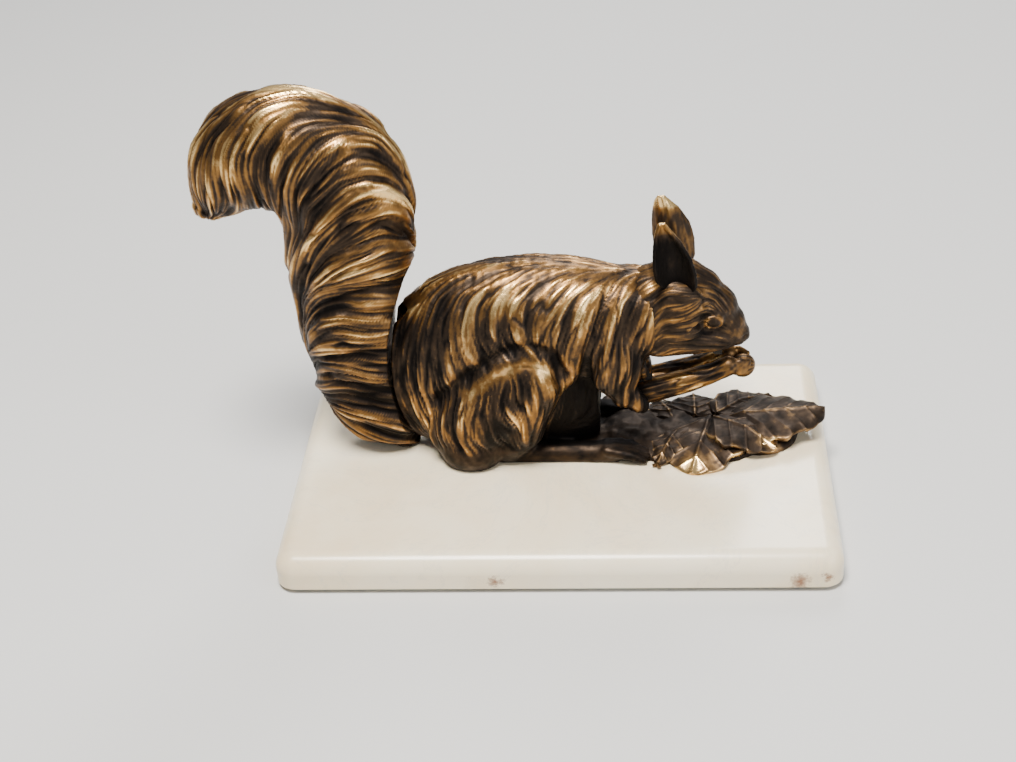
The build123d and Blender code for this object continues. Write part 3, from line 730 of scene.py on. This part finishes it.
def squirrel_head():
    """The head, cut flat over the jaw gap, with its eyes, nostrils and mouth."""
    piece = blank("squirrel_head")
    ball((27, MIDDLE, 54.2), (11, 10.4, 12.2))
    ball((32.5, MIDDLE, 56.4), (11.5, 10.2, 12.3))
    limb([(36, MIDDLE, 56.5, 9.8), (42, MIDDLE, 53, 7.6), (46.2, MIDDLE, 48.8, 5.4),
          (48.9, MIDDLE, 45.2, 3.9)], 0.86)
    ball((51.0, MIDDLE, 44.4), (1.9, 2.0, 1.8))
    both(head_side)
    fuse(piece, 0.5, 6)
    jaw = [(-60, -30), (PAST, -30), (PAST, JAW_TOP), (21.5, JAW_TOP), (21.5, 68), (19, 78), (-60, 78)]
    cut(piece, jaw, 60)
    reskin(piece, 0.32)
    points = places(piece)
    normals = outward(piece)
    x, _, z = points.T
    side = fade(0.15, 0.5, np.abs(normals[:, 1]))
    eye_gap = np.hypot(x - EYE_X, (z - EYE_Z) / 0.85)
    ledge = np.exp(-(((z - (56.2 - 0.45 * (x - 42))) / 1.1) ** 2)) * fade(36, 40, x) * (1 - fade(45, 47, x))
    lid = np.exp(-(((eye_gap - 2.3) / 0.42) ** 2))
    pupil = np.clip(1 - (eye_gap / 1.75) ** 2, 0, 1) ** 0.5
    socket = np.exp(-(((eye_gap - 3.4) / 0.9) ** 2))
    corner = np.exp(-(((z - EYE_Z - 0.12 * (x - 40)) / 0.45) ** 2))
    corner = corner * fade(34.5, 38, x) * (1 - fade(40.2, 41.2, x))
    height = side * (0.65 * ledge + 0.45 * lid + 0.75 * pupil - 0.55 * socket - 0.45 * corner)
    mouth = np.exp(-(((z - 43.3 + 0.12 * (x - 46)) / 0.35) ** 2)) * fade(44.5, 46, x)
    nostril = np.exp(-(((z - 45.4) / 0.45) ** 2 + ((x - 51.4) / 0.8) ** 2)) * side
    height = height - 0.4 * mouth - 0.5 * nostril + 0.30 * eye_lines(points, 0.45) * side
    move_to(piece, points + normals * height[:, None])

    def where(points, normals):
        """How much fur stands at each point, from 0 to 1."""
        gap = np.hypot(points[:, 0] - EYE_X, points[:, 2] - EYE_Z)
        clear = fade(2.6, 4.2, gap)
        muzzle = 1 - 0.8 * fade(44, 48, points[:, 0])
        under = fade(41.6, 43.0, points[:, 2])
        crown = 1 - 0.5 * fade(62, 66, points[:, 2])
        return clear * muzzle * under * crown

    furred(
        piece, HEAD_STROKES, (2.6, 7.0, 0.25), (1.2, 6.0, 0.22), (0.42, 4.0, 0.10),
        where, shift=2, shades=(0.10, 0.17, 0.22),
    )
    points = places(piece)
    # Painted light and shade: the crown, the lids and the eye lines brighter as painted highlights, the
    # hollow round the eye darker as painted shade, and the pupil darker.
    gap = np.hypot(points[:, 0] - EYE_X, points[:, 2] - EYE_Z)
    lids = np.exp(-(((gap - 2.3) / 0.6) ** 2))
    hollow = np.exp(-(((gap - 3.6) / 0.9) ** 2))
    pupil = np.exp(-((gap / 1.25) ** 4))
    wedge = eye_lines(points, 0.5)
    crown = fade(56, 68, points[:, 2])
    paint(piece, "wear_and_painted_light", 0.30 * crown + 0.8 * lids - 0.7 * hollow - 0.8 * pupil + 0.6 * wedge)
    dress(piece, fur_bronze, "base", "head_casting")


EAR_SHARES = [0.0, 0.2, 0.4, 0.6, 0.8, 0.93, 1.0]              # of the ear's height
EAR_WIDTHS = [3.0, 5.3, 5.4, 4.8, 3.3, 1.7, 0.6]               # half widths there
EAR_MIDDLES = [33.0, 32.6, 32.2, 31.5, 30.3, 29.3, 28.9]       # x of the middle there


def squirrel_ear(name, side, casting):
    """A pointed, cupped ear: a curved sheet with a wall, open outwards."""
    piece = new_grid(name, 40, 60)
    flat = places(piece) * MM
    across = flat[:, 0]
    up = (flat[:, 1] + 1) / 2
    width = np.interp(up, EAR_SHARES, EAR_WIDTHS)
    middle_x = np.interp(up, EAR_SHARES, EAR_MIDDLES)
    cup = 3.8 * np.sin(np.pi * (0.10 + 0.86 * up))
    x = middle_x + across * width
    y = MIDDLE + side * (6.0 + 1.6 * up + cup * across ** 2)
    z = EAR_ROOT_Z + EAR_HEIGHT * up - 1.2 * across * (1 - up)
    move_to(piece, np.stack([x, y, z], axis=1))
    thicken(piece, EAR_WALL, 0)
    reskin(piece, 0.25)
    soften(piece, 3)
    points = places(piece)
    strands = clouds(points * np.array([1.6, 1.6, 0.35]), 1.0, 5)
    normals = outward(piece)
    move_to(piece, points + normals * (0.14 * (strands - 0.5))[:, None])
    # The inside of the cup is painted darker as shade.
    inside = fade(0.1, 0.45, normals[:, 1] * side)
    paint(piece, "relief", 0.48 + 0.25 * (strands - 0.5) - 0.42 * inside)
    # The tip and the upper edges are painted bright as a painted highlight.
    edge = 1 - fade(0.0, 0.6, np.abs(normals[:, 1]))
    paint(piece, "wear_and_painted_light", 2.2 * fade(77.0, 82.5, points[:, 2]) + 0.9 * edge * fade(68.0, 76.0, points[:, 2]))
    dress(piece, fur_bronze, "base", casting)


# --- forelegs and the nut ---------------------------------------------------------------------------
def foreleg_side(side):
    """One foreleg with four fingers."""
    y = MIDDLE
    limb([(21.0, y + side * 3.4, 27.6, 3.3), (28, y + side * 3.3, 29.4, 3.4), (37, y + side * 3.2, 32.0, 3.1),
          (43.5, y + side * 3.1, 34.4, 2.7), (47.0, y + side * 3.0, 36.2, 2.8)])
    for finger in range(4):
        lift = 1.7 - 1.15 * finger
        limb([(47.5, y + side * 3.1, 36.0 + 0.6 * lift, 1.25), (50.0, y + side * 3.3, 35.9 + lift, 1.0),
              (52.3, y + side * 2.1, 35.2 + lift, 0.85)])


def forelegs():
    """Both forelegs and the web between them."""
    piece = blank("forelegs")
    both(foreleg_side)
    limb([(21.5, MIDDLE, 28.5, 2.4), (29, MIDDLE, 30.0, 2.0)])
    ball((23.4, MIDDLE, 34.6), (2.6, 4.1, 5.0))
    fuse(piece, 0.35, 4)
    strokes = [(22, 27, 18), (35, 31, 18), (50, 36, 30)]
    furred(
        piece, strokes, (2.4, 6.0, 0.2), (1.3, 5.0, 0.2), (0.7, 4.0, 0.1),
        lambda points, normals: 1 - fade(44, 47, points[:, 0]), shift=4,
    )
    points = places(piece)
    paint(piece, "wear_and_painted_light", 0.25 + 0.3 * fade(42, 48, points[:, 0]))
    dress(piece, fur_bronze, "lever", "forepaws")


def small_nut():
    """The ribbed nut in the paws."""
    piece = blank("small_nut")
    ball((51.0, MIDDLE, NUT_Z), (3.5, 3.4, 3.3), climb=30)
    fuse(piece, 0.25, 3)
    points = places(piece)
    angle = np.arctan2(points[:, 1] - MIDDLE, points[:, 2] - NUT_Z)
    grooves = 0.5 + 0.5 * np.sin(14 * angle)
    normals = outward(piece)
    move_to(piece, points + normals * (0.08 * (grooves - 0.5))[:, None])
    paint(piece, "relief", 0.35 + 0.25 * grooves)
    paint(piece, "wear_and_painted_light", np.full(len(points), 0.4))
    dress(piece, fur_bronze, "lever", "held_nut")


# --- tail -----------------------------------------------------------------------------------------
TAIL_SCREWS = [(-55.8, 34.0), (-55.2, 47.0)]
TAIL_EDGES = [  # inner edge x, z, outer edge x, z and half width, from the foot to the tip
    (-50.0, 12.2, -40.0, 13.0, 5.0),
    (-58.6, 15.6, -38.0, 22.0, 8.6),
    (-65.6, 26.0, -38.0, 34.0, 11.0),
    (-69.4, 37.0, -38.5, 46.0, 12.2),
    (-71.0, 49.0, -38.5, 58.0, 12.8),
    (-71.4, 60.0, -38.2, 69.5, 13.2),
    (-71.6, 69.0, -36.8, 79.5, 13.6),
    (-70.6, 77.0, -36.6, 92.0, 13.8),
    (-70.6, 82.0, -41.0, 105.5, 13.8),
    (-71.8, 85.2, -52.0, 116.4, 13.6),
    (-74.6, 86.4, -66.0, 120.6, 13.0),
    (-78.0, 86.6, -80.0, 118.6, 12.0),
    (-81.4, 86.4, -89.8, 110.5, 10.4),
    (-84.4, 85.4, -93.8, 99.0, 8.4),
    (-88.0, 84.6, -94.2, 89.5, 5.0),
]


def squirrel_tail():
    """The tail: a grid rolled into a tapering tube, with its locks raised across it."""
    piece = new_grid("squirrel_tail", 400, 220)
    flat = places(piece) * MM
    cap = 0.035
    along = (flat[:, 0] + 1) / 2 * (1 + 2 * cap) - cap
    around = (flat[:, 1] + 1) * math.pi
    past = np.maximum(-along, along - 1).clip(0) / cap
    shrink = np.sqrt(np.clip(1 - past ** 2, 0, 1))
    station = np.clip(along, 0, 1)
    rows = eased_rows(TAIL_EDGES, station)
    inner = rows[:, 0:2]
    outer = rows[:, 2:4]
    centre = (inner + outer) / 2
    across = (outer - inner) / 2
    half = np.linalg.norm(across, axis=1)
    run = across / half[:, None]
    onward = np.stack([-run[:, 1], run[:, 0]], axis=1)
    bulge = np.where(along < 0, -1, 1) * past * 3.0
    cos = np.cos(around) * shrink
    sin = np.sin(around) * shrink
    points = np.empty((len(flat), 3))
    points[:, [0, 2]] = centre + across * cos[:, None] + onward * bulge[:, None]
    points[:, 1] = MIDDLE + rows[:, 4] * sin
    move_to(piece, points)
    bpy.ops.object.mode_set(mode="EDIT")
    bpy.ops.mesh.select_all(action="SELECT")
    bpy.ops.mesh.remove_doubles(threshold=0.00001)
    bpy.ops.mesh.normals_make_consistent(inside=False)
    bpy.ops.object.mode_set(mode="OBJECT")

    for x, z in TAIL_SCREWS:
        bore(piece, x, z, *SCREW_HOLE)

    def where(points, normals):
        """How much fur stands at each point, from 0 to 1."""
        level = 1 - 0.5 * (1 - fade(12.0, 17.0, points[:, 2]))
        for x, z in TAIL_SCREWS:
            gap = np.hypot(points[:, 0] - x, points[:, 2] - z)
            level = level * np.where(points[:, 1] > MIDDLE, fade(3.4, 4.4, gap), 1.0)
        return level

    furred(
        piece, TAIL_STROKES, (4.3, 18.0, 2.1), (1.7, 14.0, 0.85), (0.60, 9.0, 0.28),
        where, shift=1, shades=(0.17, 0.34, 0.34),
    )
    points = places(piece)
    # the front face is turned to an arc about the pivot, so that it clears the rump as it swings
    reach = points[:, [0, 2]] - PIVOT
    radius = np.linalg.norm(reach, axis=1)
    points[:, [0, 2]] = PIVOT + reach * np.maximum(1.0, TAIL_RADIUS / radius)[:, None]
    points[:, 2] = np.maximum(points[:, 2], TOP + 0.3)
    move_to(piece, points)
    # Brighter towards the top as painted light from above, darker low down as painted shade.
    lit = fade(50, 112, points[:, 2])
    lobe = fade(-72, -84, points[:, 0])
    paint(piece, "wear_and_painted_light", 0.55 * lit + 0.30 * lobe - 0.45 * (1 - fade(20, 60, points[:, 2])))
    dress(piece, tail_bronze, "lever", "tail_casting")


# --- leaves -----------------------------------------------------------------------------------------
def leaf(root, tip, half_width, lobes, arch, droop, curl):
    """One leaf: a grid drawn out between its root and tip, lobed, arched, veined and given a wall."""
    piece = new_grid("leaf", 88, 56)
    flat = places(piece) * MM
    u = (flat[:, 0] + 1) / 2
    v = flat[:, 1]
    root = np.array(root, dtype=float)
    tip = np.array(tip, dtype=float)
    run = tip - root
    length = np.linalg.norm(run)
    run = run / length
    side = np.cross((0, 0, 1.0), run)
    side /= np.linalg.norm(side)
    lift = np.cross(run, side)
    outline = np.sin(np.pi * u ** 0.8) ** 0.6 * (1 - 0.10 * u)
    scallop = 1 - 0.075 * np.cos(2 * np.pi * lobes * u) + 0.03 * np.sin(9 * u + half_width)
    width = half_width * (outline * scallop + 0.02)
    height = arch * np.sin(np.pi * u) - droop * v ** 2 + curl * fade(0.6, 1.0, u)
    spine = np.exp(-((v * width / 0.55) ** 2))
    slant = u * length - np.abs(v) * width * 0.85
    vein_step = length / (lobes + 1.0)
    vein_part = slant / vein_step
    vein = np.exp(-(((vein_part - np.round(vein_part)) * vein_step / 0.34) ** 2))
    vein *= fade(0.02, 0.12, u) * (1 - fade(0.9, 1.0, u))
    between = 0.5 - 0.5 * np.cos(2 * np.pi * vein_part)
    crumple = clouds(flat * np.array([3.0, 2.0, 1.0]) + half_width, 1.0, 4) - 0.5
    height = height + 0.38 * spine + 0.22 * vein - 0.16 * between * fade(0.05, 0.5, np.abs(v)) + 0.9 * crumple
    points = root + run * (u * length)[:, None] + side * (v * width)[:, None] + lift * height[:, None]
    move_to(piece, points)
    grain = clouds(points, 2.2, 6) + 0.6 * clouds(points, 0.8, 7) - 0.8
    edge = fade(0.88, 1.0, np.abs(v)) * clouds(points, 2.5, 8) * 1.4
    paint(piece, "relief", 0.34 + 0.20 * spine + 0.13 * vein + 0.40 * edge + 0.32 * grain)
    thicken(piece, LEAF_WALL, -1)
    return piece


MOUND_EGGS = [  # x, distance from the middle plane, z and radii
    (12, 0, 11.0, (15, 12.6, 3.0)), (20, 0, 11.0, (10, 13.0, 4.8)), (2, 0, 11.0, (10, 12.0, 2.6)),
    (34, 0, 11.2, (12, 14.5, 3.6)), (46, 0, 11.2, (12, 14.0, 3.6)), (56, 0, 11.4, (11, 11.0, 3.4)),
    (26, -4, 11.2, (8, 9, 3.0)), (26, 5, 11.2, (8, 9, 3.0)),
]


def leaf_bed():
    """The bed: a low mound with overlapping leaves that run out over the plinth."""
    piece = blank("leaf_mound")
    for x, y, z, radii in MOUND_EGGS:
        ball((x, MIDDLE + y, z), radii)
    fuse(piece, 0.6, 3)
    points = places(piece)
    normals = outward(piece)
    rough = clouds(points, 3.0, 1) + 0.5 * clouds(points, 1.3, 2)
    points = points + normals * (0.7 * (rough - 0.75))[:, None]
    points[:, 2] = np.maximum(points[:, 2], TOP)
    move_to(piece, points)
    paint(piece, "relief", 0.15 + 0.2 * rough)
    leaves = [
        leaf((42, MIDDLE + 2, 15.2), (36.4, -11.6, 12.4), 12.2, 3, 1.0, 0.9, -0.6),
        leaf((33, MIDDLE - 2, 14.4), (27.0, -7.6, 12.6), 4.6, 3, 0.8, 0.6, -0.3),
        leaf((43, MIDDLE + 2, 15.8), (60.0, -3.2, 15.2), 9.4, 3, 1.4, 1.0, -1.0),
        leaf((46, MIDDLE + 2, 15.4), (74.4, MIDDLE + 1.2, 17.2), 11.6, 4, 2.0, 2.6, 1.6),
        leaf((44, MIDDLE + 4, 15.6), (60.0, 24.5, 13.4), 8.0, 4, 1.2, 1.0, -0.4),
        leaf((38, MIDDLE + 4, 14.8), (38.0, 27.0, 12.4), 8.6, 4, 1.0, 0.9, -0.5),
        leaf((32, MIDDLE + 3, 14.4), (27.0, 24.6, 12.4), 4.8, 3, 0.8, 0.6, -0.3),
    ]
    only(piece)
    for each in leaves:
        each.select_set(True)
    bpy.ops.object.join()
    piece.name = "leaf_cluster"
    piece.data.name = "leaf_cluster"
    points = places(piece)
    points[:, 2] = np.maximum(points[:, 2], TOP)
    move_to(piece, points)
    patch = np.exp(-(((points[:, 0] - 37.0) / 6.5) ** 2 + ((points[:, 1] + 8.8) / 3.2) ** 2))
    bent = np.exp(-(((points[:, 0] - 59.0) / 3.5) ** 2 + ((points[:, 1] + 2.0) / 2.4) ** 2))
    paint(piece, "wear_and_painted_light", 2.0 * patch + 1.4 * bent)
    dress(piece, leaf_bronze, "base", "leaf_bed")


squirrel_body()
squirrel_head()
squirrel_ear("ear_shell_near", -1, "ear_near")
squirrel_ear("ear_shell_far", 1, "ear_far")
forelegs()
small_nut()
squirrel_tail()
leaf_bed()

for node_name, material in (
    ("plinth", cream_marble), ("felt_pad", green_felt), ("studs", dulled_steel),
    ("stud_washers", dulled_steel), ("stud_nuts", dulled_steel), ("pivot_pin", dulled_steel),
    ("stop_pin", dulled_steel),
    ("jaw_plate_screws", dulled_steel), ("paw_pins", dark_steel), ("tail_screws", dark_steel),
    ("pivot_shims", turned_brass), ("lever_bush", turned_brass), ("lever_arm", black_iron_and_shade),
    # Near black on the jaw plate as painted shadow in the jaw gap.
    ("upper_jaw_plate", black_iron_and_shade),
):
    for material_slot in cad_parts[node_name].material_slots:
        material_slot.material = material


# --- floor, lights and camera -------------------------------------------------------------------------
def area_light(name, place, aim, size, power, colour):
    """A round soft light at a place, turned to what it lights. Places and sizes are in metres."""
    bpy.ops.object.light_add(type="AREA", location=place)
    lamp = bpy.context.object
    lamp.name = name
    lamp.data.shape = "DISK"
    lamp.data.size = size
    lamp.data.energy = power
    lamp.data.color = colour
    lamp.rotation_euler = (Vector(aim) - Vector(place)).to_track_quat("-Z", "Y").to_euler()


bpy.ops.object.select_all(action="DESELECT")
bpy.ops.mesh.primitive_plane_add(size=6.0, location=(0, 0, 0))
floor = bpy.context.object
floor.name = "floor"
floor_material, _, floor_shader = new_material("pale_floor")
floor_shader.inputs["Base Color"].default_value = (0.62, 0.62, 0.61, 1)
floor_shader.inputs["Roughness"].default_value = 0.8
floor.data.materials.append(floor_material)

world = bpy.data.worlds.new("studio")
bpy.context.scene.world = world
world.use_nodes = True
world.node_tree.nodes["Background"].inputs["Color"].default_value = (0.9, 0.93, 1.0, 1)
world.node_tree.nodes["Background"].inputs["Strength"].default_value = 0.28
area_light("key", (-0.08, -0.22, 0.80), (0, 0, 0.04), 0.30, 15.0, (1.0, 0.96, 0.90))
area_light("fill", (0.6, -0.45, 0.35), (0, 0, 0.04), 0.5, 3.0, (0.95, 0.97, 1.0))
area_light("rim", (0.1, 0.7, 0.6), (0, 0, 0.05), 0.4, 5.0, (1.0, 1.0, 1.0))

camera_data = bpy.data.cameras.new("camera")
camera_data.lens = 60.0
camera_data.sensor_width = 36.0
camera = bpy.data.objects.new("camera", camera_data)
bpy.context.collection.objects.link(camera)
CAMERA_PLACE = (0.02501, -0.38636, 0.29369)
tilt_down = 0.5867
turn = -0.0996
lean = -0.0701
level_run = math.cos(tilt_down)
forward = Vector((math.sin(turn) * level_run, math.cos(turn) * level_run, -math.sin(tilt_down)))
level_right = Vector((math.cos(turn), -math.sin(turn), 0))
level_up = level_right.cross(forward)
right = math.cos(lean) * level_right + math.sin(lean) * level_up
up = -math.sin(lean) * level_right + math.cos(lean) * level_up
axes = Matrix((right, up, -forward)).transposed().to_4x4()
camera.matrix_world = Matrix.Translation(CAMERA_PLACE) @ axes
camera_data.clip_start = 0.01
bpy.context.scene.camera = camera
